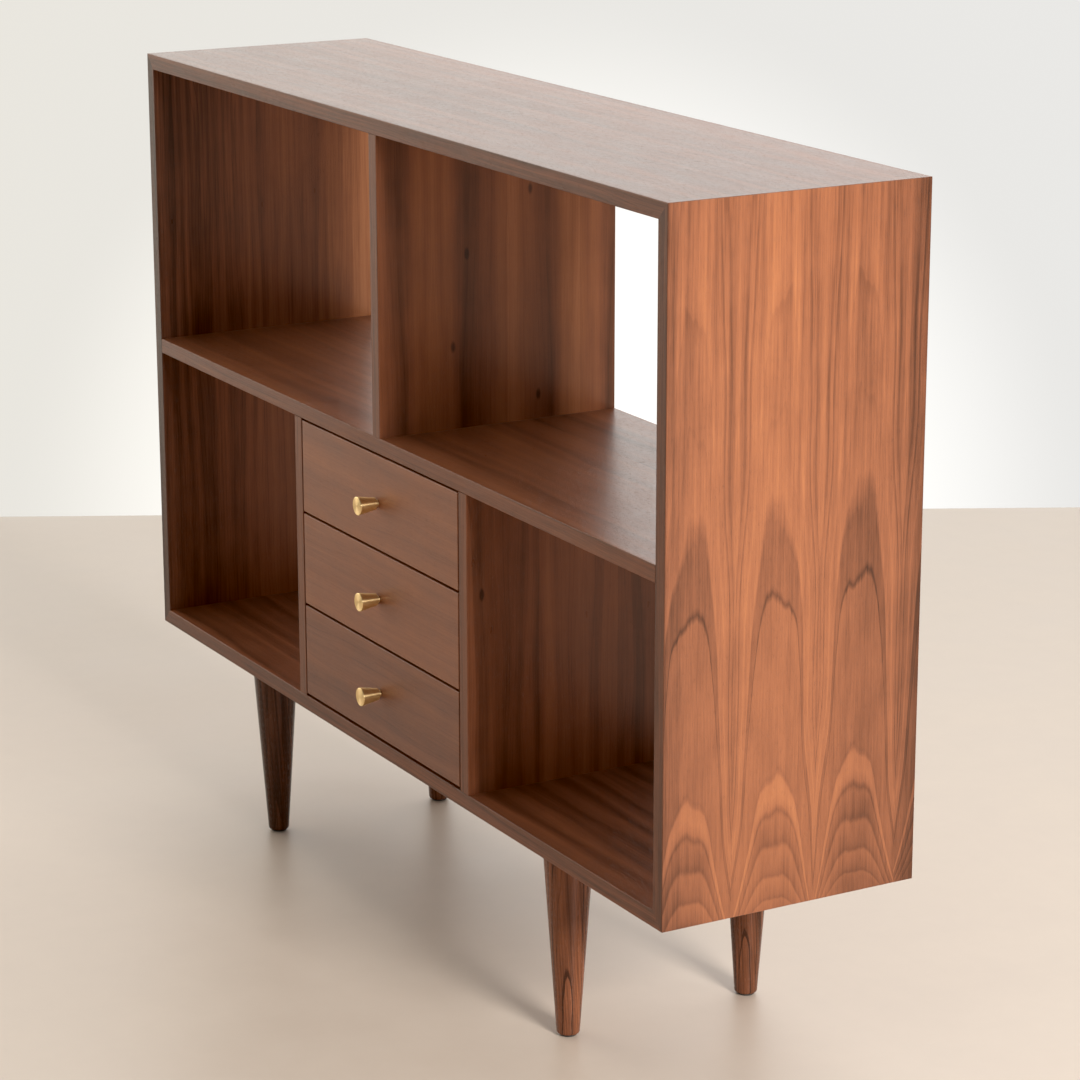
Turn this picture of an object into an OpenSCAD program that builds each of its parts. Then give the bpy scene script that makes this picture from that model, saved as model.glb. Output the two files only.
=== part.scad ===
// Low open bookcase on turned legs: two bays over a bay, a stack of three
// drawers and a bay. Millimetres, +Z up, the front faces -Y. The origin is on
// the floor, under the middle of the whole object with its knobs.

/* [Case] */
// Outside width of the case
case_w = 1219; // [1100:1:1340]
// Outside depth of the case, without the knobs
case_d = 300; // [290:1:340]
// Outside height of the case, without the legs
case_h = 724; // [690:1:780]
// Thickness of every board of the case
board_t = 18; // [18:1:20]
// Thickness of the solid wood strip on the front and back edges
lip_t = 4; // [3:0.5:6]
// Radius of the eased arrises
arris_r = 1; // [0.6:0.1:1.5]

/* [Legs] */
// Height from the floor to the underside of the case
leg_h = 210; // [180:1:240]
// Leg diameter where it meets the case
leg_top_d = 54; // [48:1:58]
// Leg diameter at the foot
leg_foot_d = 25; // [22:1:30]
// Leg axis to the end of the case
leg_inset_x = 250; // [160:1:300]
// Leg axis to the front or back face of the case
leg_inset_y = 38; // [34:1:60]
// Thickness of the glide under each foot
glide_t = 2.5; // [2:0.5:4]

/* [Drawers] */
// Thickness of a drawer front
front_t = 18; // [16:1:20]
// Gap between a drawer front and a partition
gap_side = 2; // [1.5:0.5:3]
// Gap between the top front and the shelf
gap_top = 2.5; // [2:0.5:4]
// Gap between two fronts
gap_between = 3; // [2:0.5:4]
// Gap between the bottom front and the case bottom
gap_bottom = 3.5; // [2:0.5:4]
// Thickness of the drawer box boards
box_t = 12; // [10:1:13]
// Height of a drawer box
box_h = 78; // [70:1:84]
// Length of a drawer box behind its front
box_l = 255; // [252:1:258]
// Thickness of a drawer bottom
box_bottom_t = 6; // [5:0.5:8]

/* [Slides] */
// Length of a drawer slide when closed
slide_l = 250; // [240:5:250]
// Room that a slide takes beside the drawer box
slide_w = 12.7; // [12.6:0.1:13]
// Height of the slide's outer member
slide_h = 45; // [45:0.5:46]
// Sheet thickness of the slide members
slide_t = 1.2; // [1:0.1:1.5]
// Room for the ball race between two members
race_gap = 2.3; // [2:0.1:2.5]

/* [Knobs] */
// How far a knob stands out
knob_l = 25; // [22:1:30]
// Diameter of a knob's face
knob_face_d = 21; // [16:1:24]
// Diameter of a knob's cone at its narrow end
knob_foot_d = 13.5; // [10.5:0.5:14]
// Diameter of the neck between that end and the drawer front
knob_neck_d = 8; // [7:0.5:9]
// Length of that neck
knob_neck_l = 2.5; // [2:0.5:4]
// How far a knob sits below the middle of its front
knob_drop = 1; // [0:0.5:5]

/* [Joinery] */
// Diameter of the dowels
dowel_d = 8; // [6:1:10]
// Depth of a dowel in the face of a board
dowel_face_depth = 10; // [8:1:12]
// Depth of a dowel in the end of a board
dowel_end_depth = 20; // [16:1:25]
// Width of a mitre spline, across the mitre
spline_w = 12; // [8:1:13]
// Thickness of a mitre spline
spline_t = 4; // [3:0.5:5]
// Thickness of the panel behind the drawers
back_t = 6; // [4:0.5:8]
// Distance from that panel to the back of the case
back_inset = 8; // [6:0.5:10]
// Depth of the groove that holds that panel
groove_depth = 5; // [4:0.5:6]

/* [Hidden] */
$fn = 48;
clear = 0.1;            // room round glued and screwed pieces
over = 1;               // overshoot of a cutting solid
slide_setback = 2;      // from the back of a drawer front to its slides
front_y = knob_l - (case_d + knob_l) / 2;
back_y = front_y + case_d;
mid_y = (front_y + back_y) / 2;
bottom_z = leg_h;
top_z = leg_h + case_h;
inner_x = case_w / 2 - board_t;
bay_h = (case_h - 3 * board_t) / 2;
shelf_z = bottom_z + board_t + bay_h;
shelf_top_z = shelf_z + board_t;
lower_bay_w = (case_w - 4 * board_t) / 3;
partition_x = lower_bay_w / 2;
floor_z = bottom_z + board_t;

front_w = lower_bay_w - 2 * gap_side;
front_h = (bay_h - gap_top - 2 * gap_between - gap_bottom) / 3;
box_w = lower_bay_w - 2 * slide_w;
box_y = front_y + front_t;
slide_y = box_y + slide_setback;
bottom_lift = 8;        // drawer bottom above the lower edge of its box
spline_end = 30;        // from the end of a mitre spline to the face of the case
spline_inset = 0.62 * board_t;
back_play = 0.5;        // room in depth of the back panel's grooves
case_screw_bite = 11;
box_screw_bite = 9;
turn_fn = 96;           // facets of the legs and knobs
front_ease = 0.6;       // chamfer round a drawer front

flange_out = 10.2;      // reach of the outer member's flanges
mid_web = 3.4;          // outer face of the middle member's web, off the partition
mid_reach = 10.6;
inner_flange = 6.6;
mid_h = slide_h - 2 * (slide_t + race_gap);
inner_h = mid_h - 2 * (slide_t + race_gap);

screw_d = 3.5;
screw_head_d = 6.5;
screw_head_t = 1.6;
front_screw_d = 4;
front_screw_head_d = 8;
front_screw_head_t = 2.2;
front_screw_x = 120;
front_screw_z = 18;
front_screw_bite = 13;
knob_thread = 10;
bolt_d = 8;
bolt_in_leg = 42;
bolt_in_case = 13;
insert_d = 12;
insert_l = 14;
glide_d = 19;

DOWEL_SHARES = [0.15, 0.5, 0.85];
DOWEL_AT = [for (share = DOWEL_SHARES) front_y + share * case_d];
OUTER_SCREW_SHARES = [0.064, 0.5, 0.936];
INNER_SCREW_SHARES = [0.12, 0.86];
LEVELS = [0, 1, 2];
NAMES = ["bottom", "middle", "top"];
DRAWER_PIECES = ["front", "box_front", "box_back", "box_sides", "box_bottom", "knob",
    "knob_screw", "front_screws", "slide_members", "slide_screws"];
CASE_NODES = ["top_panel", "bottom_panel", "left_side_panel", "right_side_panel",
    "middle_shelf", "upper_divider", "lower_left_partition", "lower_right_partition",
    "drawer_bay_back", "top_lipping", "bottom_lipping", "left_side_lipping",
    "right_side_lipping", "shelf_lipping", "divider_lipping", "partition_lipping",
    "mitre_splines", "case_dowels", "leg_front_left", "leg_front_right", "leg_back_left",
    "leg_back_right", "leg_inserts", "leg_bolts", "foot_glides", "case_slide_members",
    "case_slide_screws"];

function front_mid_z(i) =
    floor_z + gap_bottom + front_h / 2 + i * (front_h + gap_between);

// ---- helpers ----

// Draws an X-Z outline between two depths.
module between_y(y0, y1) {
    translate([0, y1, 0]) rotate([90, 0, 0]) linear_extrude(y1 - y0) children();
}

// Draws a Y-Z outline between two places along X.
module between_x(x0, x1) {
    translate([x0, 0, 0]) rotate([90, 0, 90]) linear_extrude(x1 - x0) children();
}

// A solid box from its lowest to its highest corner.
module block(low, high) {
    translate(low) cube(high - low);
}

// A rectangle whose four corners are round.
module round_rect(low, high, r) {
    translate([low.x + r, low.y]) square([high.x - low.x - 2 * r, high.y - low.y]);
    translate([low.x, low.y + r]) square([high.x - low.x, high.y - low.y - 2 * r]);
    for (x = [low.x + r, high.x - r], y = [low.y + r, high.y - r])
        translate([x, y]) circle(r);
}

// A rectangle whose four corners are cut off.
module cut_rect(low, high, c) {
    polygon([[low.x + c, low.y], [high.x - c, low.y], [high.x, low.y + c],
        [high.x, high.y - c], [high.x - c, high.y], [low.x + c, high.y],
        [low.x, high.y - c], [low.x, low.y + c]]);
}

// A cylinder from a point along a direction: "x", "y" or "z".
module rod(at, d, l, along) {
    turn = along == "x" ? [0, 90, 0] : along == "y" ? [-90, 0, 0] : [0, 0, 0];
    translate(at) rotate(turn) cylinder(d = d, h = l);
}

// ---- joinery inside the boards ----

// The dowels of the butt joints; grow makes them into their holes.
module dowels(grow = 0) {
    d = dowel_d + 2 * grow;
    deep = dowel_face_depth + 3 * grow;
    end = dowel_end_depth + 3 * grow;
    shelf_mid = shelf_z + board_t / 2;
    for (y = DOWEL_AT) {
        rod([-inner_x - deep, y, shelf_mid], d, deep + end, "x");
        rod([inner_x - end, y, shelf_mid], d, deep + end, "x");
        rod([0, y, top_z - board_t - end], d, deep + end, "z");
        rod([0, y, shelf_top_z - deep], d, deep + end, "z");
        for (x = [-1, 1] * (partition_x + board_t / 2)) {
            rod([x, y, floor_z - deep], d, deep + end, "z");
            rod([x, y, shelf_z - end], d, deep + end, "z");
        }
    }
}

// The splines across the four mitres; grow makes them into their grooves.
module splines(grow = 0) {
    w = spline_w + 4 * grow;
    t = spline_t + 2 * grow;
    for (sx = [-1, 1], up = [0, 1]) {
        z = up == 1 ? top_z - spline_inset : bottom_z + spline_inset;
        tilt = sx * (up == 1 ? -45 : 45);
        translate([sx * (case_w / 2 - spline_inset), 0, z])
            rotate([0, tilt, 0])
                block([-t / 2, front_y + spline_end - 2 * grow, -w / 2],
                      [t / 2, back_y - spline_end + 2 * grow, w / 2]);
    }
}

// The panel behind the drawers; grow makes it into its grooves.
module back_panel(grow = 0) {
    y = back_y - back_inset - back_t;
    out = grow == 0 ? groove_depth - back_play : groove_depth;
    block([-partition_x - out, y - grow, floor_z - out],
          [partition_x + out, y + back_t + grow, shelf_z + out]);
}

// The holes for the leg inserts in the underside of the case.
module insert_holes() {
    for (p = leg_places())
        rod([p.x, p.y, bottom_z - over], insert_d + 2 * clear, insert_l + over + clear, "z");
}

// The pilot holes of the screws that hold the outer slide members.
module slide_screw_holes() {
    for (i = LEVELS, s = [-1, 1], share = OUTER_SCREW_SHARES)
        slide_screw(s, i, share, 0, clear);
}

// Takes every hidden joint out of a board.
module jointed() {
    difference() {
        children();
        dowels(clear);
        splines(clear);
        back_panel(clear);
    }
}

// ---- boards ----

// The case's outline seen from the front.
module case_outline() {
    round_rect([-case_w / 2, bottom_z], [case_w / 2, top_z], arris_r);
}

// The part of that outline that one mitred board takes: "top", "bottom", "left", "right".
module board_outline(which) {
    w = case_w / 2 + over;
    i = inner_x;
    lo = bottom_z - over;
    hi = top_z + over;
    lo_in = bottom_z + board_t;
    hi_in = top_z - board_t;
    points = which == "top" ? [[-w, hi], [w, hi], [i, hi_in], [-i, hi_in]]
        : which == "bottom" ? [[-w, lo], [w, lo], [i, lo_in], [-i, lo_in]]
        : which == "left" ? [[-w, lo], [-i, lo_in], [-i, hi_in], [-w, hi]]
        : [[w, lo], [i, lo_in], [i, hi_in], [w, hi]];
    intersection() {
        case_outline();
        polygon(points);
    }
}

module mitred_board(which) {
    jointed() between_y(front_y + lip_t, back_y - lip_t) board_outline(which);
}

// A board between others, its lipped edges left off.
module plain_board(low, high) {
    jointed() block([low.x, front_y + lip_t, low.y], [high.x, back_y - lip_t, high.y]);
}

module top_panel() {
    color("#c9b59a") mitred_board("top");
}

module bottom_panel() {
    color("#6b4027") difference() {
        mitred_board("bottom");
        insert_holes();
    }
}

module left_side_panel() {
    color("#9a6242") mitred_board("left");
}

module right_side_panel() {
    color("#b87350") mitred_board("right");
}

module middle_shelf() {
    color("#7d5236") plain_board([-inner_x, shelf_z], [inner_x, shelf_top_z]);
}

module upper_divider() {
    color("#8a5b3e") plain_board([-board_t / 2, shelf_top_z], [board_t / 2, top_z - board_t]);
}

module partition(side) {
    x = side * (partition_x + board_t / 2);
    difference() {
        plain_board([x - board_t / 2, floor_z], [x + board_t / 2, shelf_z]);
        slide_screw_holes();
    }
}

module lower_left_partition() {
    color("#7a4c33") partition(-1);
}

module lower_right_partition() {
    color("#7a4c33") partition(1);
}

module drawer_bay_back() {
    color("#5f3b26") back_panel();
}

// ---- lipping ----

// The cross-section of a board of the height given, eased at the faces only.
module lipped_section(z0, z1) {
    round_rect([front_y, z0], [back_y, z1], arris_r);
}

// What is left of a solid once the board between the lippings is cut away.
module edges_only() {
    difference() {
        children();
        block([-case_w, front_y + lip_t, 0], [case_w, back_y - lip_t, 2 * top_z]);
    }
}

module level_lipping(which, z0, z1) {
    edges_only() intersection() {
        between_y(front_y, back_y) board_outline(which);
        between_x(-case_w / 2, case_w / 2) lipped_section(z0, z1);
    }
}

module upright_section(x0, x1) {
    round_rect([x0, front_y], [x1, back_y], arris_r);
}

module side_lipping(side) {
    x0 = side < 0 ? -case_w / 2 : inner_x;
    edges_only() intersection() {
        between_y(front_y, back_y) board_outline(side < 0 ? "left" : "right");
        translate([0, 0, bottom_z]) linear_extrude(case_h) upright_section(x0, x0 + board_t);
    }
}

module upright_lipping(x0, z0, z1) {
    edges_only() translate([0, 0, z0]) linear_extrude(z1 - z0)
        upright_section(x0, x0 + board_t);
}

module top_lipping() {
    color("#8d6a52") level_lipping("top", top_z - board_t, top_z);
}

module bottom_lipping() {
    color("#7c5a45") level_lipping("bottom", bottom_z, floor_z);
}

module left_side_lipping() {
    color("#85624c") side_lipping(-1);
}

module right_side_lipping() {
    color("#85624c") side_lipping(1);
}

module shelf_lipping() {
    color("#85624c") edges_only()
        between_x(-inner_x, inner_x) lipped_section(shelf_z, shelf_top_z);
}

module divider_lipping() {
    color("#85624c") upright_lipping(-board_t / 2, shelf_top_z, top_z - board_t);
}

module partition_lipping() {
    color("#85624c") for (x = [-partition_x - board_t, partition_x])
        upright_lipping(x, floor_z, shelf_z);
}

module mitre_splines() {
    color("#d8bf94") splines();
}

module case_dowels() {
    color("#dcc69f") dowels();
}

// ---- legs ----

function leg_places() = [for (sx = [-1, 1], sy = [-1, 1])
    [sx * (case_w / 2 - leg_inset_x), mid_y + sy * (case_d / 2 - leg_inset_y)]];

module leg(sx, sy) {
    top_r = leg_top_d / 2;
    foot_r = leg_foot_d / 2;
    ease = 2;
    bore_r = bolt_d / 2 + clear;
    bore_z = leg_h - bolt_in_leg - clear;
    at = [sx * (case_w / 2 - leg_inset_x), mid_y + sy * (case_d / 2 - leg_inset_y), 0];
    translate(at) rotate_extrude($fn = turn_fn)
        polygon([[0, glide_t], [foot_r - ease, glide_t], [foot_r - 0.3 * ease, glide_t + 0.3 * ease],
            [foot_r, glide_t + ease], [top_r, leg_h], [bore_r, leg_h], [bore_r, bore_z],
            [0, bore_z]]);
}

module leg_front_left() {
    color("#5a2f1f") leg(-1, -1);
}

module leg_front_right() {
    color("#5a2f1f") leg(1, -1);
}

module leg_back_left() {
    color("#5a2f1f") leg(-1, 1);
}

module leg_back_right() {
    color("#5a2f1f") leg(1, 1);
}

// Threaded sleeves set into the underside of the case.
module leg_inserts() {
    color("#b9a35c") for (p = leg_places()) difference() {
        rod([p.x, p.y, bottom_z], insert_d, insert_l, "z");
        rod([p.x, p.y, bottom_z - over], bolt_d + 2 * clear, insert_l + 2 * over, "z");
    }
}

// Studs with a wood thread in the leg and a machine thread in the insert.
module leg_bolts() {
    color("#a9acb0") for (p = leg_places())
        rod([p.x, p.y, leg_h - bolt_in_leg], bolt_d, bolt_in_leg + bolt_in_case, "z");
}

module foot_glides() {
    ease = 0.6;
    r = glide_d / 2;
    color("#d9d6cf") for (p = leg_places()) translate([p.x, p.y, 0]) rotate_extrude()
        polygon([[0, 0], [r - ease, 0], [r, ease], [r, glide_t], [0, glide_t]]);
}

// ---- drawer slides ----

// Places a slide profile drawn with u off the partition (X) and height (Y).
module on_slide(side, i) {
    x = side * partition_x;
    between_y(slide_y, slide_y + slide_l)
        translate([x, front_mid_z(i)]) mirror([side > 0 ? 1 : 0, 0]) children();
}

// A channel of sheet metal: web from u0, flanges to u1, open towards u1.
module channel(u0, u1, h) {
    translate([u0, -h / 2]) square([slide_t, h]);
    for (z = [-h / 2, h / 2 - slide_t])
        translate([u0, z]) square([u1 - u0, slide_t]);
}

module outer_member(side, i) {
    difference() {
        on_slide(side, i) channel(0, flange_out, slide_h);
        for (share = OUTER_SCREW_SHARES) slide_screw(side, i, share, 0, clear);
    }
}

module middle_member(side, i) {
    on_slide(side, i) channel(mid_web, mid_reach, mid_h);
}

module drawer_member(side, i) {
    difference() {
        on_slide(side, i) translate([slide_w, 0]) mirror([1, 0])
            channel(0, slide_w - inner_flange, inner_h);
        for (share = INNER_SCREW_SHARES) slide_screw(side, i, share, 1, clear);
    }
}

// A pan-head screw through a slide member, into the partition (end 0) or the box side (end 1).
// share is its place along the slide, from 0 at the front to 1 at the back.
module slide_screw(side, i, share, end, grow = 0) {
    at = [side * partition_x, slide_y + share * slide_l, front_mid_z(i)];
    d = screw_d + 2 * grow;
    // u is the distance off the partition, towards the drawer
    translate(at) mirror([side > 0 ? 1 : 0, 0, 0]) {
        if (end == 0) {
            rod([-case_screw_bite - grow, 0, 0], d, case_screw_bite + slide_t + 2 * grow, "x");
            if (grow == 0) rod([slide_t, 0, 0], screw_head_d, screw_head_t, "x");
        } else {
            rod([slide_w - slide_t - grow, 0, 0], d, box_screw_bite + slide_t + 2 * grow, "x");
            if (grow == 0)
                rod([slide_w - slide_t - screw_head_t, 0, 0], screw_head_d, screw_head_t, "x");
        }
    }
}

module case_slide_members() {
    color("#b4b7ba") for (i = LEVELS, side = [-1, 1]) outer_member(side, i);
}

module case_slide_screws() {
    color("#a9acb0") for (i = LEVELS, side = [-1, 1], share = OUTER_SCREW_SHARES)
        slide_screw(side, i, share, 0);
}

module slide_middle_members(i) {
    color("#9fa3a7") for (side = [-1, 1]) middle_member(side, i);
}

// ---- drawers ----

module drawer_front(i) {
    z = front_mid_z(i);
    x = front_w / 2;
    h = front_h / 2;
    difference() {
        intersection() {
            between_x(-x, x) cut_rect([front_y, z - h], [box_y, z + h], front_ease);
            translate([0, 0, z - h]) linear_extrude(front_h)
                cut_rect([-x, front_y], [x, box_y], front_ease);
        }
        front_screws(i, clear);
        rod([0, front_y - over, z - knob_drop], front_screw_d + 4 * clear, front_t + 2 * over, "y");
    }
}

// The low and the high corner of drawer i's box.
function box_low(i) = [-box_w / 2, box_y, front_mid_z(i) - box_h / 2];
function box_high(i) = [box_w / 2, box_y + box_l, front_mid_z(i) + box_h / 2];

module box_bottom(i, grow = 0) {
    low = box_low(i);
    high = box_high(i);
    side = box_t - groove_depth - grow;
    z = low.z + bottom_lift;
    block([low.x + side, low.y + side, z - grow],
          [high.x - side, high.y - side, z + box_bottom_t + grow]);
}

module box_sides(i) {
    low = box_low(i);
    high = box_high(i);
    difference() {
        union() {
            block(low, [low.x + box_t, high.y, high.z]);
            block([high.x - box_t, low.y, low.z], high);
        }
        box_bottom(i, clear);
        for (side = [-1, 1], share = INNER_SCREW_SHARES) slide_screw(side, i, share, 1, clear);
    }
}

module box_end(i, y) {
    low = box_low(i);
    high = box_high(i);
    difference() {
        block([low.x + box_t, y, low.z], [high.x - box_t, y + box_t, high.z]);
        box_bottom(i, clear);
        front_screws(i, clear);
        rod([0, box_y - over, low.z + box_h / 2 - knob_drop],
            front_screw_d + 4 * clear, box_t + 2 * over, "y");
    }
}

// Four screws through the box front into the drawer front.
module front_screws(i, grow = 0) {
    for (x = [-1, 1] * front_screw_x, z = [-1, 1] * front_screw_z) {
        y = box_y - front_screw_bite;
        at = [x, y - grow, front_mid_z(i) + z];
        rod(at, front_screw_d + 2 * grow, front_screw_bite + box_t + 2 * grow, "y");
        if (grow == 0)
            rod([x, box_y + box_t, at.z], front_screw_head_d, front_screw_head_t, "y");
    }
}

// A cone on a short neck, wide end outwards, turned in one piece.
module knob(i) {
    face = knob_face_d / 2;
    foot = knob_foot_d / 2;
    neck = knob_neck_d / 2;
    ease = 0.8;
    half_ease = ease / 2;
    corner = 0.3 * ease;
    thread_r = front_screw_d / 2 + clear;
    translate([0, front_y, front_mid_z(i) - knob_drop]) rotate([90, 0, 0])
        rotate_extrude($fn = turn_fn)
            polygon([[thread_r, 0], [neck, 0], [neck, knob_neck_l],
                [foot - half_ease, knob_neck_l], [foot, knob_neck_l + half_ease],
                [face, knob_l - ease], [face - corner, knob_l - corner],
                [face - ease, knob_l], [0, knob_l], [0, knob_thread + clear],
                [thread_r, knob_thread + clear]]);
}

module knob_screw(i) {
    at = [0, front_y - knob_thread, front_mid_z(i) - knob_drop];
    through = knob_thread + front_t + box_t;
    rod(at, front_screw_d, through, "y");
    rod([0, at.y + through, at.z], front_screw_head_d, front_screw_head_t, "y");
}

module drawer_slide_members(i) {
    for (side = [-1, 1]) drawer_member(side, i);
}

module drawer_slide_screws(i) {
    for (side = [-1, 1], share = INNER_SCREW_SHARES) slide_screw(side, i, share, 1);
}

// One piece of drawer i, by name.
module drawer_piece(i, piece) {
    if (piece == "front") color("#87624c") drawer_front(i);
    if (piece == "box_front") color("#dcc7a4") box_end(i, box_y);
    if (piece == "box_back") color("#dcc7a4") box_end(i, box_y + box_l - box_t);
    if (piece == "box_sides") color("#e0cba8") box_sides(i);
    if (piece == "box_bottom") color("#d3bd97") box_bottom(i);
    if (piece == "knob") color("#cfa45c") knob(i);
    if (piece == "knob_screw") color("#a9acb0") knob_screw(i);
    if (piece == "front_screws") color("#a9acb0") front_screws(i);
    if (piece == "slide_members") color("#c4c7ca") drawer_slide_members(i);
    if (piece == "slide_screws") color("#a9acb0") drawer_slide_screws(i);
}

top_panel();
bottom_panel();
left_side_panel();
right_side_panel();
middle_shelf();
upper_divider();
lower_left_partition();
lower_right_partition();
drawer_bay_back();
top_lipping();
bottom_lipping();
left_side_lipping();
right_side_lipping();
shelf_lipping();
divider_lipping();
partition_lipping();
mitre_splines();
case_dowels();
leg_front_left();
leg_front_right();
leg_back_left();
leg_back_right();
leg_inserts();
leg_bolts();
foot_glides();
case_slide_members();
case_slide_screws();
for (i = LEVELS)
    slide_middle_members(i);
for (i = LEVELS, piece = DRAWER_PIECES)
    drawer_piece(i, piece);
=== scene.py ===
"""Looks of the walnut bookcase: wood, metal, floor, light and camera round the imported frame."""

import math
from dataclasses import dataclass

import bpy
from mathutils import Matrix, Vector


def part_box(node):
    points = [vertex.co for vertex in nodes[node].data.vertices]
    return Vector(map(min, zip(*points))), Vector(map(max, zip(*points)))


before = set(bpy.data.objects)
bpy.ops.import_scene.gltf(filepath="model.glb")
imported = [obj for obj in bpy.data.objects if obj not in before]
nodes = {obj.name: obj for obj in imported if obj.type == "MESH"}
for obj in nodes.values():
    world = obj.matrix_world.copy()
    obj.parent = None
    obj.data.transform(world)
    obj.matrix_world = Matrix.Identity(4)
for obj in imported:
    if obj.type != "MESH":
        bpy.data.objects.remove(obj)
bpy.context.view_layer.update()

MM = 0.001
IN_MM = 1000
X, Y, Z = 0, 1, 2
LEVELS = ("bottom", "middle", "top")

# Linear colours of walnut, from the dark lines to the palest streaks
WALNUT = (
    (0.00, (0.055, 0.019, 0.009)),
    (0.22, (0.130, 0.046, 0.022)),
    (0.42, (0.225, 0.080, 0.038)),
    (0.60, (0.310, 0.112, 0.051)),
    (0.80, (0.400, 0.150, 0.064)),
    (1.00, (0.500, 0.205, 0.092)),
)
# Linear colours of the other materials, from dark to pale
BIRCH_FACE = ((0.0, (0.42, 0.28, 0.15)), (0.5, (0.60, 0.44, 0.26)), (1.0, (0.72, 0.57, 0.37)))
BIRCH_PLIES = ((0.0, (0.30, 0.18, 0.09)), (1.0, (0.62, 0.45, 0.27)))
BRASS = ((0.0, (0.80, 0.55, 0.24)), (0.5, (0.90, 0.66, 0.33)), (1.0, (0.96, 0.76, 0.44)))
ZINC = ((0.0, (0.42, 0.43, 0.45)), (1.0, (0.74, 0.75, 0.76)))
NYLON = ((0.0, (0.020, 0.018, 0.016)), (1.0, (0.060, 0.055, 0.050)))
FLOOR = ((0.0, (0.58, 0.48, 0.40)), (1.0, (0.70, 0.60, 0.51)))

# Usual width of a leaf of veneer, and specular level of the satin lacquer on it
LEAF = 98 * MM
SATIN = 0.42

# Tone against growth ring on a face with cathedral arches. Pale and dark
# arcs stand near the foot, a thin dark edge at ring 12, and soft stripes above it.
ARCH_TONES = (
    (0.0, 0.50), (0.9, 0.56), (1.1, 0.38), (1.4, 0.46), (3.0, 0.60), (3.25, 0.38), (3.6, 0.46),
    (5.0, 0.60), (5.3, 0.36), (5.7, 0.46), (6.5, 0.56), (6.7, 0.38), (6.9, 0.62), (7.3, 0.74),
    (7.75, 0.70), (7.9, 0.44), (8.1, 0.52), (10.0, 0.56), (11.88, 0.54), (11.94, 0.20),
    (12.02, 0.44), (13.1, 0.46), (13.16, 0.68), (14.4, 0.60), (15.2, 0.70), (16.3, 0.58),
    (17.0, 0.64), (18.0, 0.40), (18.4, 0.64), (20.2, 0.42), (20.8, 0.60), (30.0, 0.52),
)
LAST_RING = 30

# Shift of tone from the front edge (0) to the back edge (1) of a side panel.
# It stands for uneven light at least as much as for uneven wood. NO_SHADE is no shift.
OUTER_SHADE = (
    (0.0, 0.32), (0.10, 0.46), (0.22, 0.53), (0.60, 0.50), (0.76, 0.34), (0.90, 0.40), (1.0, 0.12),
)
INNER_SHADE = (
    (0.0, 0.15), (0.15, 0.16), (0.37, 0.32), (0.50, 0.48), (0.72, 0.56), (0.88, 0.70), (1.0, 0.95),
)
NO_SHADE = 0.5

# The case without its legs and knobs
CASE_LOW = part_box("left_side_lipping")[0]
CASE_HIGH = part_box("right_side_lipping")[1]
CASE_DEPTH = CASE_HIGH.y - CASE_LOW.y
FRONT = CASE_LOW.y
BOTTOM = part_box("bottom_panel")[0].z


# ---------------------------------------------------------------- node helpers


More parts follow.
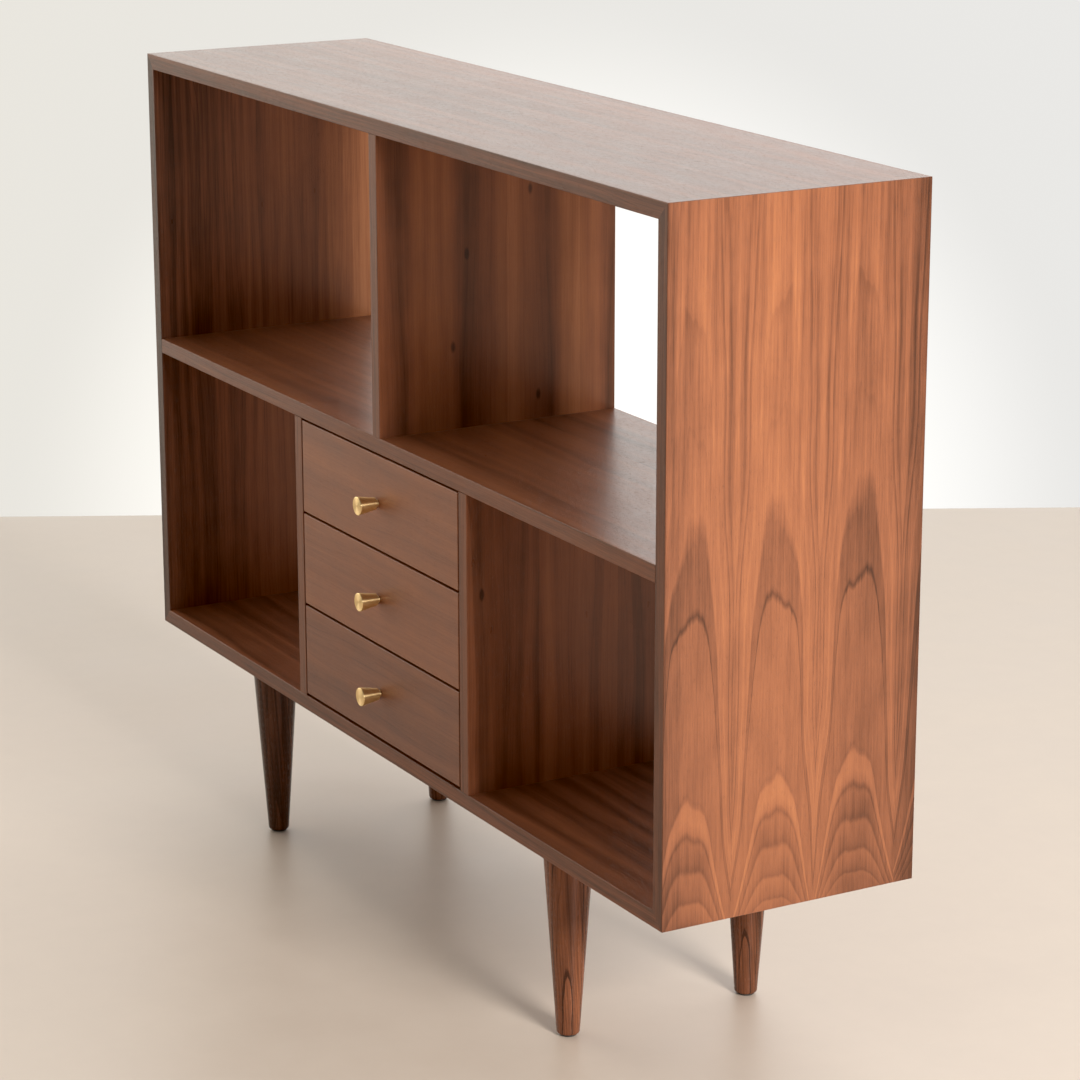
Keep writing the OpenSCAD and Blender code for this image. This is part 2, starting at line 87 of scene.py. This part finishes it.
class Graph:
    """Adds nodes to one node tree. Each method gives back the new node's output socket."""

    def __init__(self, tree):
        self.tree = tree

    def add(self, kind, values=(), **settings):
        node = self.tree.nodes.new(kind)
        for name, setting in settings.items():
            setattr(node, name, setting)
        for name, value in dict(values).items():
            self.feed(node.inputs[name], value)
        return node

    def feed(self, socket, value):
        if isinstance(value, bpy.types.NodeSocket):
            self.tree.links.new(value, socket)
        else:
            socket.default_value = value

    def math(self, operation, *values):
        return self.add("ShaderNodeMath", enumerate(values), operation=operation).outputs[0]

    def plus(self, a, b):
        return self.math("ADD", a, b)

    def minus(self, a, b):
        return self.math("SUBTRACT", a, b)

    def times(self, a, b):
        return self.math("MULTIPLY", a, b)

    def step(self, low, high, value):
        """0 below low, 1 above high and smooth between."""
        ends = {"Value": value, "From Min": low, "From Max": high}
        return self.add("ShaderNodeMapRange", ends, interpolation_type="SMOOTHSTEP").outputs[0]

    def combine(self, x, y, z):
        return self.add("ShaderNodeCombineXYZ", enumerate((x, y, z))).outputs[0]

    def split(self, vector):
        return self.add("ShaderNodeSeparateXYZ", {0: vector}).outputs

    def noise(self, x, y, seed, detail=1.0, rough=0.5):
        """Noise about 0, from roughly -0.5 to 0.5, with features 1 across in x and y."""
        values = {"Vector": self.combine(x, y, seed), "Scale": 1.0, "Detail": detail, "Roughness": rough}
        return self.minus(self.add("ShaderNodeTexNoise", values).outputs[0], 0.5)

    def grain(self, x, y, size, seed, detail=1.0, rough=0.5):
        """Noise about 0 with features of this size, in the units of x and y."""
        across, along = size
        return self.noise(self.times(x, 1 / across), self.times(y, 1 / along), seed, detail, rough)

    def radius(self, x, y):
        return self.math("SQRT", self.plus(self.times(x, x), self.times(y, y)))

    def chance(self, value):
        """A random number from 0 to 1 for each whole value."""
        return self.add("ShaderNodeTexWhiteNoise", {"W": value}, noise_dimensions="1D").outputs[0]

    def ramp(self, value, stops):
        node = self.add("ShaderNodeValToRGB", {0: value})
        elements = node.color_ramp.elements
        for place, _ in stops[1:-1]:
            elements.new(place)
        for element, (place, colour) in zip(elements, stops):
            element.position = place
            element.color = (*colour, 1.0)
        return node.outputs[0]

    def curve(self, value, stops):
        """A number that follows the stops, as a ramp of greys."""
        return self.ramp(value, tuple((place, (grey,) * 3) for place, grey in stops))

    def blend(self, share, a, b):
        """Colours a and b mixed."""
        node = self.add("ShaderNodeMix", data_type="RGBA")
        for socket, value in zip((node.inputs[0], node.inputs[6], node.inputs[7]), (share, a, b)):
            self.feed(socket, value)
        return node.outputs[2]

    def between(self, share, a, b):
        """Numbers a and b mixed."""
        node = self.add("ShaderNodeMix", data_type="FLOAT")
        for socket, value in zip((node.inputs[0], node.inputs[2], node.inputs[3]), (share, a, b)):
            self.feed(socket, value)
        return node.outputs[0]

    def group(self, tree, values):
        node = self.tree.nodes.new("ShaderNodeGroup")
        node.node_tree = tree
        for name, value in values.items():
            self.feed(node.inputs[name], value)
        return node.outputs


def new_group(name, inputs, outputs):
    """An empty node group, its graph, its input sockets and its output node."""
    tree = bpy.data.node_groups.new(name, "ShaderNodeTree")
    for label in inputs:
        tree.interface.new_socket(label, in_out="INPUT", socket_type="NodeSocketFloat")
    for label, kind in outputs.items():
        tree.interface.new_socket(label, in_out="OUTPUT", socket_type=kind)
    given = tree.nodes.new("NodeGroupInput").outputs
    return tree, Graph(tree), given, tree.nodes.new("NodeGroupOutput").inputs


def new_material(name):
    material = bpy.data.materials.new(name)
    material.use_nodes = True
    graph = Graph(material.node_tree)
    shader = material.node_tree.nodes["Principled BSDF"]
    place = graph.add("ShaderNodeTexCoord").outputs
    return material, graph, shader, place


def bump(graph, height, depth):
    values = {"Height": height, "Distance": depth, "Strength": 1.0}
    return graph.add("ShaderNodeBump", values).outputs[0]


def paint(name, material):
    """The CAD node's surface takes this material."""
    mesh = nodes[name].data
    mesh.materials.clear()
    mesh.materials.append(material)


# ---------------------------------------------------------------- walnut


def figure_group():
    """Where a point lies in the growth rings of book-matched leaves. Lengths in metres.

    X is millimetres from the middle of a leaf, mirrored from leaf to leaf, and V is
    millimetres along it. Arch 1 gives cathedral arches that close up towards the seams,
    and Arch 0 straight grain. Each leaf is the next slice of the same log.
    """
    inputs = ("Across", "Along", "Leaf", "Climb", "Seed", "Arch")
    outputs = dict.fromkeys(("Rings", "X", "V", "Number"), "NodeSocketFloat")
    tree, g, given, result = new_group("figure", inputs, outputs)
    arch_half_width = 40
    arch_depth = 40
    arch_power = 3.0
    rings_per_fold = 5.45
    first_ring = -20.4
    straight_rings_per_mm = 0.22
    first_straight_ring = 40
    sway = 18
    slice_step = 0.10

    number = g.math("FLOOR", g.math("DIVIDE", given["Across"], given["Leaf"]))
    mirrored = g.math("PINGPONG", given["Across"], given["Leaf"])
    x = g.times(g.minus(mirrored, g.times(given["Leaf"], 0.5)), IN_MM)
    v = g.times(g.minus(given["Along"], g.times(number, given["Climb"])), IN_MM)
    seed = g.plus(given["Seed"], g.times(number, slice_step))

    slow = g.grain(x, v, (40, 260), seed)
    drift = g.grain(x, v, (16, 110), g.plus(seed, 7))
    teeth = g.grain(x, v, (4.5, 120), g.plus(seed, 13))
    bent = g.plus(x, g.times(slow, sway))
    from_middle = g.math("ABSOLUTE", g.times(bent, 1 / arch_half_width))
    width = g.math("POWER", from_middle, arch_power)
    height = g.math("LOGARITHM", g.math("MAXIMUM", g.plus(v, arch_depth), 1.0), math.e)
    arched = g.plus(g.times(g.plus(height, width), rings_per_fold), first_ring)
    straight = g.plus(g.times(bent, straight_rings_per_mm), first_straight_ring)
    rings = g.between(given["Arch"], straight, arched)
    for waver, strength in ((slow, 1.0), (drift, 0.6), (teeth, 0.24)):
        rings = g.plus(rings, g.times(waver, strength))
    g.feed(result["Rings"], rings)
    g.feed(result["X"], x)
    g.feed(result["V"], v)
    g.feed(result["Number"], number)
    return tree


def wood_group():
    """Walnut where the rings are Rings, X and V are millimetres, and Tone is 0 dark to 1 pale."""
    inputs = ("Rings", "X", "V", "Tone", "Seed", "Lines", "Streaks", "Fibre", "Gloss")
    outputs = dict.fromkeys(("Color", "Height", "Roughness"), "NodeSocketFloat")
    outputs["Color"] = "NodeSocketColor"
    tree, g, given, result = new_group("walnut", inputs, outputs)
    streak_strength, mottle_strength = 0.6, 0.22
    line_depth, late_wood_depth, pore_depth = 0.45, 0.10, 0.07
    rings, x, v, seed = (given[label] for label in ("Rings", "X", "V", "Seed"))

    fibre = g.grain(x, v, (1.1, 60), seed, 3.0, 0.65)
    streak = g.grain(x, v, (5, 420), g.plus(seed, 3), 2.0, 0.6)
    mottle = g.grain(x, v, (26, 60), g.plus(seed, 9), 2.0, 0.6)
    pore = g.step(0.10, 0.22, g.grain(x, v, (0.45, 9), g.plus(seed, 5)))

    phase = g.math("FRACT", rings)
    luck = g.math("POWER", g.chance(g.plus(g.math("FLOOR", rings), seed)), 2.0)
    edge = g.times(g.step(0.82, 0.95, phase), g.minus(1.0, g.step(0.965, 1.0, phase)))
    line = g.times(g.times(edge, luck), given["Lines"])
    late = g.times(g.math("POWER", phase, 2.0), late_wood_depth)

    tone = g.plus(given["Tone"], g.times(fibre, given["Fibre"]))
    tone = g.plus(tone, g.times(g.times(streak, given["Streaks"]), streak_strength))
    tone = g.plus(tone, g.times(mottle, mottle_strength))
    tone = g.minus(tone, g.times(line, line_depth))
    tone = g.minus(tone, g.times(late, given["Lines"]))
    tone = g.minus(tone, g.times(pore, pore_depth))

    height = g.plus(g.times(fibre, 0.6), g.times(pore, -0.8))
    height = g.plus(height, g.times(mottle, 0.4))
    gloss = g.plus(given["Gloss"], g.plus(g.times(mottle, 0.10), g.times(pore, 0.10)))
    g.feed(result["Color"], g.ramp(tone, WALNUT))
    g.feed(result["Height"], height)
    g.feed(result["Roughness"], gloss)
    return tree


FIGURE = figure_group()
WOOD = wood_group()


@dataclass
class Veneer:
    """How leaves of veneer lie on a board.

    across and along are axes. seam is the place of one seam between leaves, foot is where
    the figure starts, leaf is a leaf's width and climb its shift from leaf to leaf, in
    metres. The rest sets the look: tone is 0 dark to 1 pale, and shine is the lacquer's
    specular level. bands gives one face cathedral arches: the one with the higher
    coordinate if figured_side is 1. shade shifts the tone from front to back on that
    higher face, as painted light and shade as much as uneven wood. heart darkens the
    middle of each leaf, and knots are places of pin knots.
    middle is the place of the board's middle along its normal.
    """

    across: int
    along: int
    seam: float
    foot: float
    seed: float
    tone: float = 0.55
    climb: float = 0.0
    leaf: float = LEAF
    lines: float = 1.0
    contrast: float = 1.0
    streaks: float = 0.3
    fibre: float = 0.28
    leaf_contrast: float = 0.2
    gloss: float = 0.30
    shine: float = SATIN
    bands: tuple = ()
    middle: float = 0.0
    figured_side: int = 1
    shade: tuple = ()
    heart: float = 0.0
    knots: tuple = ()


def other_axis(a, b):
    return X + Y + Z - a - b


def middle_of(name, axis):
    low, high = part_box(name)
    return (low[axis] + high[axis]) / 2


def knot_marks(g, across, along, knots):
    """1 on small pin knots, which are longer along the grain, and 0 away from them."""
    core, reach, squeeze = 1 * MM, 4 * MM, 0.45
    marks = 0.0
    for knot_across, knot_along in knots:
        x = g.minus(across, knot_across)
        v = g.times(g.minus(along, knot_along), squeeze)
        marks = g.plus(marks, g.minus(1.0, g.step(core, reach, g.radius(x, v))))
    return marks


def arched(g, sheet, figured, figure, tone):
    """Tone, ring lines and streaks where one face of a board has cathedral arches."""
    rings = figure["Rings"]
    above_arches = g.minus(1.0, g.times(figured, g.minus(1.0, g.step(11.5, 12.5, rings))))
    stops = tuple((ring / LAST_RING, grey) for ring, grey in sheet.bands)
    tone = g.between(figured, tone, g.curve(g.times(rings, 1 / LAST_RING), stops))
    streaks = g.plus(sheet.streaks, g.times(g.step(240, 520, figure["V"]), 0.75))
    return tone, g.times(above_arches, sheet.lines), streaks


def marked(g, sheet, axes, side, from_middle, tone):
    """The tone with the heart stripe, the shade and the knots that a sheet asks for."""
    knot_depth = 0.45
    if sheet.heart:
        tone = g.plus(tone, g.times(g.minus(g.step(8, 40, from_middle), 0.5), sheet.heart))
    # The shade is painted light and shade as much as uneven wood: the tone grows darker or lighter from
    # the front edge to the back edge.
    if sheet.shade:
        depth = g.times(g.minus(axes[Y], FRONT), 1 / CASE_DEPTH)
        shift = g.minus(g.curve(depth, sheet.shade), NO_SHADE)
        tone = g.plus(tone, g.times(shift, side))
    if sheet.knots:
        marks = knot_marks(g, axes[sheet.across], axes[sheet.along], sheet.knots)
        tone = g.minus(tone, g.times(marks, knot_depth))
    return tone


def veneer_look(g, place, sheet):
    """Colour, height and roughness of one veneered board."""
    axes = g.split(place["Object"])
    side = g.math("GREATER_THAN", axes[other_axis(sheet.across, sheet.along)], sheet.middle)
    figured = side if sheet.figured_side else g.minus(1.0, side)
    seed = g.plus(sheet.seed, g.times(side, 31))
    figure = g.group(FIGURE, {
        "Across": g.minus(axes[sheet.across], sheet.seam),
        "Along": g.minus(axes[sheet.along], sheet.foot),
        "Leaf": sheet.leaf,
        "Climb": sheet.climb,
        "Seed": seed,
        "Arch": figured if sheet.bands else 0.0,
    })
    rings, v = figure["Rings"], figure["V"]
    band = g.noise(g.times(rings, 0.30), g.times(v, 1 / 900), g.plus(seed, 17))
    tone = g.plus(sheet.tone, g.times(band, 0.75 * sheet.contrast))
    lines, streaks = sheet.lines, sheet.streaks
    if sheet.bands:
        tone, lines, streaks = arched(g, sheet, figured, figure, tone)
    from_middle = g.math("ABSOLUTE", figure["X"])
    tone = marked(g, sheet, axes, side, from_middle, tone)
    leaf_luck = g.chance(g.plus(figure["Number"], seed))
    tone = g.plus(tone, g.times(g.minus(leaf_luck, 0.5), sheet.leaf_contrast))
    return g.group(WOOD, {
        "Rings": rings,
        "X": figure["X"],
        "V": v,
        "Tone": tone,
        "Seed": seed,
        "Lines": lines,
        "Streaks": streaks,
        "Fibre": sheet.fibre,
        "Gloss": sheet.gloss,
    })


def solid_look(g, place, along, seed, tone):
    """Colour, height and roughness of a narrow solid strip with its grain along one axis."""
    axes = g.split(place["Object"])
    ring_width = 3.2
    clear_of_boards = 900
    sides = [axis for axis in (X, Y, Z) if axis != along]
    x = g.times(g.plus(axes[sides[0]], g.times(axes[sides[1]], 1.3)), IN_MM)
    v = g.times(axes[along], IN_MM)
    slant = g.times(g.grain(x, v, (90, 300), seed), 30)
    rings = g.plus(g.times(g.plus(x, slant), 1 / ring_width), g.times(v, 1 / 160))
    band = g.noise(g.times(rings, 0.5), g.times(v, 1 / 700), g.plus(seed, 17), 2.0, 0.6)
    return g.group(WOOD, {
        "Rings": g.plus(rings, clear_of_boards),
        "X": x,
        "V": v,
        "Tone": g.plus(tone, g.times(band, 0.45)),
        "Seed": seed,
        "Lines": 0.5,
        "Streaks": 0.8,
        "Fibre": 0.4,
        "Gloss": 0.42,
    })


def lacquered(shader, g, colour, height, roughness, shine):
    """A thin satin lacquer over wood."""
    g.feed(shader.inputs["Base Color"], colour)
    g.feed(shader.inputs["Roughness"], roughness)
    g.feed(shader.inputs["Normal"], bump(g, height, 0.12 * MM))
    shader.inputs["IOR"].default_value = 1.5
    shader.inputs["Specular IOR Level"].default_value = shine


def veneered(name, sheet):
    material, g, shader, place = new_material(name)
    look = veneer_look(g, place, sheet)
    lacquered(shader, g, look["Color"], look["Height"], look["Roughness"], sheet.shine)
    return material


def lipped(name, sheet, along, seed, tone):
    """Solid strip on a board's edge: its narrow faces run on with the board's veneer."""
    material, g, shader, place = new_material(name)
    normal = g.split(place["Normal"])
    facing = g.math("GREATER_THAN", g.math("ABSOLUTE", normal[Y]), 0.6)
    face = veneer_look(g, place, sheet)
    strip = solid_look(g, place, along, seed, tone)
    colour = g.blend(facing, face["Color"], strip["Color"])
    height = g.between(facing, face["Height"], strip["Height"])
    roughness = g.between(facing, face["Roughness"], strip["Roughness"])
    lacquered(shader, g, colour, height, roughness, 0.38)
    return material


def turned_leg(name, seed, tone):
    """A leg turned from solid walnut: rings of a slightly tilted tree about an axis beside it."""
    low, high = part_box(name)
    centre = (low + high) / 2
    ring_width = 3.6
    heart = Vector((centre.x - 60 * MM, centre.y + 45 * MM))
    tilt = Vector((0.05, -0.09))
    material, g, shader, place = new_material(f"walnut_{name}")
    axes = g.split(place["Object"])
    lift = g.minus(axes[Z], low.z)
    x = g.minus(g.minus(axes[X], heart.x), g.times(lift, tilt.x))
    y = g.minus(g.minus(axes[Y], heart.y), g.times(lift, tilt.y))
    angle = g.math("ARCTAN2", y, x)
    v = g.times(lift, IN_MM)
    wander = g.noise(g.times(angle, 5), g.times(v, 1 / 90), seed)
    rings = g.plus(g.times(g.radius(x, y), IN_MM / ring_width), g.times(wander, 1.2))
    band = g.noise(g.times(rings, 0.6), 0.0, g.plus(seed, 17), 2.0, 0.6)
    look = g.group(WOOD, {
        "Rings": rings,
        "X": g.times(g.plus(x, g.times(y, 1.7)), IN_MM),
        "V": v,
        "Tone": g.plus(tone, g.times(band, 0.8)),
        "Seed": seed,
        "Lines": 1.6,
        "Streaks": 1.4,
        "Fibre": 0.55,
        "Gloss": 0.26,
    })
    lacquered(shader, g, look["Color"], look["Height"], look["Roughness"], 0.32)
    return material


# ---------------------------------------------------------------- other materials


def birch(name, thickness_axis):
    """Birch plywood with its plies on the edges."""
    material, g, shader, place = new_material(name)
    axes = g.split(place["Object"])
    along = Y if thickness_axis == X else X
    normal = g.split(place["Normal"])
    on_edge = g.math("LESS_THAN", g.math("ABSOLUTE", normal[thickness_axis]), 0.5)
    depth = g.times(axes[thickness_axis], IN_MM)
    height_up = g.times(axes[Y if thickness_axis == Z else Z], IN_MM)
    length = g.times(axes[along], IN_MM)
    grain = g.grain(height_up, length, (2.2, 60), 4.0, 3.0, 0.6)
    cloud = g.grain(height_up, length, (30, 90), 8.0, 2.0, 0.5)
    ply = g.step(0.42, 0.58, g.math("PINGPONG", g.times(depth, 1 / 1.5), 1.0))
    tone = g.plus(0.5, g.plus(g.times(grain, 0.6), g.times(cloud, 0.9)))
    face = g.ramp(tone, BIRCH_FACE)
    edge = g.ramp(ply, BIRCH_PLIES)
    g.feed(shader.inputs["Base Color"], g.blend(on_edge, face, edge))
    g.feed(shader.inputs["Roughness"], g.plus(0.5, g.times(grain, 0.2)))
    g.feed(shader.inputs["Normal"], bump(g, g.plus(grain, g.times(ply, 0.4)), 0.1 * MM))
    return material


def brass(name):
    """Turned satin brass: fine rings round the knob's axis, which runs along Y."""
    low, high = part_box(name)
    centre = (low + high) / 2
    material, g, shader, place = new_material(f"brass_{name}")
    axes = g.split(place["Object"])
    x = g.times(g.minus(axes[X], centre.x), IN_MM)
    z = g.times(g.minus(axes[Z], centre.z), IN_MM)
    y = g.times(axes[Y], IN_MM)
    radius = g.radius(x, z)
    turning = g.noise(g.times(g.plus(radius, y), 1 / 0.25), 0.0, 2.0, 2.0, 0.6)
    stain = g.grain(x, g.plus(y, z), (4, 4), 5.0, 3.0, 0.6)
    tone = g.plus(0.5, g.plus(g.times(turning, 0.35), g.times(stain, 0.7)))
    g.feed(shader.inputs["Base Color"], g.ramp(tone, BRASS))
    g.feed(shader.inputs["Roughness"], g.plus(0.38, g.times(stain, 0.15)))
    g.feed(shader.inputs["Normal"], bump(g, turning, 0.01 * MM))
    around = g.add("ShaderNodeTangent", direction_type="RADIAL", axis="Y").outputs[0]
    g.feed(shader.inputs["Tangent"], around)
    shader.inputs["Anisotropic"].default_value = 0.85
    shader.inputs["Anisotropic Rotation"].default_value = 0.25
    shader.inputs["Metallic"].default_value = 1.0
    return material


def steel():
    """Zinc-plated sheet steel, brushed along the slides."""
    material, g, shader, place = new_material("zinc_steel")
    axes = g.split(place["Object"])
    x = g.times(axes[X], IN_MM)
    y = g.times(axes[Y], IN_MM)
    z = g.times(axes[Z], IN_MM)
    brushed = g.grain(z, y, (0.5, 30), 1.0, 2.0, 0.6)
    cloud = g.grain(g.plus(x, z), y, (9, 12), 6.0, 3.0, 0.6)
    tone = g.plus(0.5, g.plus(g.times(brushed, 0.4), g.times(cloud, 0.8)))
    g.feed(shader.inputs["Base Color"], g.ramp(tone, ZINC))
    g.feed(shader.inputs["Roughness"], g.plus(0.34, g.times(cloud, 0.2)))
    g.feed(shader.inputs["Normal"], bump(g, brushed, 0.01 * MM))
    shader.inputs["Metallic"].default_value = 1.0
    return material


def nylon():
    """Dark moulded nylon with a fine grain and scuffs."""
    material, g, shader, place = new_material("glide_nylon")
    axes = g.split(place["Object"])
    x = g.times(axes[X], IN_MM)
    y = g.times(axes[Y], IN_MM)
    grain = g.grain(x, y, (0.3, 0.3), 3.0, 2.0, 0.6)
    scuff = g.grain(x, y, (6, 3), 5.0, 3.0, 0.6)
    tone = g.plus(0.5, g.plus(g.times(grain, 0.2), g.times(scuff, 0.8)))
    g.feed(shader.inputs["Base Color"], g.ramp(tone, NYLON))
    g.feed(shader.inputs["Roughness"], g.plus(0.45, g.times(scuff, 0.3)))
    g.feed(shader.inputs["Normal"], bump(g, grain, 0.02 * MM))
    return material


# ---------------------------------------------------------------- the boards


def lying(seam, seed, **look):
    """Veneer of a level board, with its grain along X and a seam this far behind the front."""
    return Veneer(Y, X, FRONT + seam * MM, CASE_LOW.x, seed, **look)


def standing(seam, seed, **look):
    """Veneer of an upright board, with its grain along Z and a seam this far behind the front."""
    return Veneer(Y, Z, FRONT + seam * MM, BOTTOM, seed, **look)


def side_sheets():
    """The two side panels, each with arches on its outer face."""
    shared = dict(
        climb=11 * MM, bands=ARCH_TONES, lines=0.35, streaks=0.4, fibre=0.45, leaf_contrast=0.12,
    )
    return {
        "right_side_panel": standing(80, 3.0, shade=OUTER_SHADE, **shared),
        "left_side_panel": standing(80, 12.0, shade=INNER_SHADE, figured_side=0, **shared),
    }


def board_sheets():
    """The veneer of every board, by node name."""
    divider_knots = (
        (FRONT + 92 * MM, 674 * MM), (FRONT + 110 * MM, 777 * MM),
        (FRONT + 190 * MM, 843 * MM), (FRONT + 200 * MM, 609 * MM),
    )
    partition_knots = ((FRONT + 18 * MM, 451 * MM),)
    sheets = side_sheets()
    sheets["top_panel"] = lying(52, 21.0, tone=0.34, contrast=0.6, lines=0.1, gloss=0.34, shine=0.62)
    sheets["bottom_panel"] = lying(70, 24.0, tone=0.40, lines=0.4)
    sheets["middle_shelf"] = lying(95, 27.0, lines=0.5, shine=0.52)
    # The divider's pale tone is partly painted light in its shaded bay and partly paler wood.
    sheets["upper_divider"] = standing(
        68, 33.0, tone=0.66, contrast=0.7, lines=0.3, leaf=93 * MM, heart=0.35, knots=divider_knots)
    sheets["lower_left_partition"] = standing(40, 36.0, contrast=0.8, lines=0.4)
    sheets["lower_right_partition"] = standing(88, 39.0, tone=0.46, lines=0.3, knots=partition_knots)
    for name, sheet in sheets.items():
        sheet.middle = middle_of(name, other_axis(sheet.across, sheet.along))
    sheets["drawer_bay_back"] = Veneer(X, Z, 0.0, BOTTOM, 42.0, leaf=125 * MM, contrast=0.6)
    return sheets


def place_boards():
    sheets = board_sheets()
    for name, sheet in sheets.items():
        paint(name, veneered(f"walnut_{name}", sheet))
    strips = {
        "top_lipping": ("top_panel", X, 51.0, 0.38),
        "bottom_lipping": ("bottom_panel", X, 54.0, 0.36),
        "left_side_lipping": ("left_side_panel", Z, 57.0, 0.12),
        "right_side_lipping": ("right_side_panel", Z, 60.0, 0.30),
        "shelf_lipping": ("middle_shelf", X, 63.0, 0.44),
        "divider_lipping": ("upper_divider", Z, 66.0, 0.45),
        "partition_lipping": ("lower_right_partition", Z, 69.0, 0.45),
    }
    for name, (board, along, seed, tone) in strips.items():
        paint(name, lipped(f"walnut_{name}", sheets[board], along, seed, tone))


def place_drawer_fronts():
    for number, level in enumerate(LEVELS):
        name = f"{level}_drawer_front"
        low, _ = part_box(name)
        sheet = Veneer(Z, X, low.z - 20 * MM, low.x - 300 * MM, 71.0 + 3 * number, tone=0.52,
                       leaf=160 * MM, contrast=0.5, lines=0.3, fibre=0.32, gloss=0.42, shine=0.5,
                       middle=middle_of(name, Y))
        paint(name, veneered(f"walnut_{name}", sheet))


def place_legs():
    # Tone of each leg: partly painted shade and light, darkest at the front left and palest at the front
    # right, and partly wood that differs from leg to leg.
    leg_tones_and_painted_light = {"front_left": 0.12, "front_right": 0.42, "back_left": 0.25, "back_right": 0.30}
    for number, (corner, tone) in enumerate(leg_tones_and_painted_light.items()):
        paint(f"leg_{corner}", turned_leg(f"leg_{corner}", 81.0 + 3 * number, tone))


def place_fittings():
    ply = {axis: birch(f"birch_{'xyz'[axis]}", axis) for axis in (X, Y, Z)}
    zinc = steel()
    for level in LEVELS:
        paint(f"{level}_drawer_box_front", ply[Y])
        paint(f"{level}_drawer_box_back", ply[Y])
        paint(f"{level}_drawer_box_sides", ply[X])
        paint(f"{level}_drawer_box_bottom", ply[Z])
        paint(f"{level}_drawer_knob", brass(f"{level}_drawer_knob"))
        for part in ("knob_screw", "front_screws", "slide_members", "slide_screws"):
            paint(f"{level}_drawer_{part}", zinc)
        paint(f"{level}_slide_middle_members", zinc)
    for name in ("leg_inserts", "leg_bolts", "case_slide_members", "case_slide_screws"):
        paint(name, zinc)
    paint("mitre_splines", ply[Z])
    paint("case_dowels", ply[Y])
    paint("foot_glides", nylon())


# ---------------------------------------------------------------- stage, light and camera


def place_floor():
    """A pale floor that ends where the studio wall would stand."""
    wall_a = Vector((-1.873, 0.251, 0.0))
    wall_b = Vector((-1.160, 1.606, 0.0))
    along = (wall_b - wall_a).normalized()
    towards = Vector((along.y, -along.x, 0.0))
    reach, depth = 9.0, 12.0
    corners = (
        wall_a - along * reach,
        wall_a - along * reach + towards * depth,
        wall_b + along * reach + towards * depth,
        wall_b + along * reach,
    )
    mesh = bpy.data.meshes.new("floor")
    mesh.from_pydata([tuple(c) for c in corners], [], [(0, 1, 2, 3)])
    floor = bpy.data.objects.new("floor", mesh)
    bpy.context.scene.collection.objects.link(floor)
    material, g, shader, place = new_material("floor_vinyl")
    axes = g.split(place["Object"])
    cloud = g.noise(g.times(axes[X], 6), g.times(axes[Y], 6), 1.0, 4.0, 0.6)
    g.feed(shader.inputs["Base Color"], g.ramp(g.plus(0.5, cloud), FLOOR))
    g.feed(shader.inputs["Roughness"], g.plus(0.42, g.times(cloud, 0.2)))
    mesh.materials.append(material)


def studio_world():
    """Soft room light: a bright wall behind, a warm bright side on the left, and a dim room in front."""
    world = bpy.data.worlds.new("studio")
    world.use_nodes = True
    bpy.context.scene.world = world
    g = Graph(world.node_tree)
    background = world.node_tree.nodes["Background"]
    axes = g.split(g.add("ShaderNodeTexCoord").outputs["Generated"])
    behind = Vector((-0.869, 0.495, 0.0))
    left = Vector((-0.850, -0.527, 0.0))
    glow = Vector((-0.838, 0.477, -0.266))

    def towards(way):
        flat = g.plus(g.times(axes[X], way.x), g.times(axes[Y], way.y))
        return g.plus(flat, g.times(axes[Z], way.z))

    wall = g.step(0.10, 0.80, towards(behind))
    side = g.step(0.62, 0.95, towards(left))
    ceiling = g.step(0.15, 0.90, axes[Z])
    above = g.step(-0.10, 0.12, axes[Z])
    halo = g.step(0.9875, 0.9990, towards(glow))
    upper_wall = g.times(above, wall)
    strength = 0.05
    for area, power in ((wall, 0.77), (side, 0.95), (ceiling, 0.30), (upper_wall, 0.98), (halo, 0.30)):
        strength = g.plus(strength, g.times(area, power))
    warmth = g.step(0.30, 0.95, towards(left))
    colour = g.blend(warmth, (1.0, 0.99, 0.965, 1.0), (1.0, 0.945, 0.82, 1.0))
    g.feed(background.inputs["Color"], colour)
    g.feed(background.inputs["Strength"], strength)


def softbox(name, place, target, size, power):
    """A slightly warm rectangular lamp that faces its target."""
    data = bpy.data.lights.new(name, "AREA")
    data.shape = "RECTANGLE"
    data.size, data.size_y = size
    data.energy = power
    data.color = (1.0, 0.97, 0.93)
    lamp = bpy.data.objects.new(name, data)
    lamp.location = place
    aim = Vector(target) - Vector(place)
    lamp.rotation_euler = aim.to_track_quat("-Z", "Y").to_euler()
    bpy.context.scene.collection.objects.link(lamp)


def place_camera():
    yaw, pitch = 1.05285, 0.26915
    level = Vector((-math.sin(yaw), math.cos(yaw), 0.0))
    forward = level * math.cos(pitch) - Vector((0.0, 0.0, math.sin(pitch)))
    data = bpy.data.cameras.new("camera")
    data.sensor_width = 36.0
    data.lens = 114.506
    data.shift_x = -0.01431
    data.shift_y = -0.00455
    camera = bpy.data.objects.new("camera", data)
    camera.location = (3.2904, -1.7852, 1.4828)
    camera.rotation_euler = forward.to_track_quat("-Z", "Y").to_euler()
    bpy.context.scene.collection.objects.link(camera)
    bpy.context.scene.camera = camera


place_camera()
place_boards()
place_drawer_fronts()
place_legs()
place_fittings()
place_floor()
studio_world()
softbox("key", place=(4.2, 0.10, 1.90), target=(0.4, 0.0, 0.5), size=(1.1, 1.1), power=200)
softbox("rim", place=(2.9, 2.9, 1.50), target=(-0.2, 0.1, 0.6), size=(0.9, 1.2), power=12)
view = bpy.context.scene.view_settings
view.view_transform = "Standard"
view.use_curve_mapping = True
view.curve_mapping.black_level = (0.005, 0.005, 0.005)
view.curve_mapping.update()
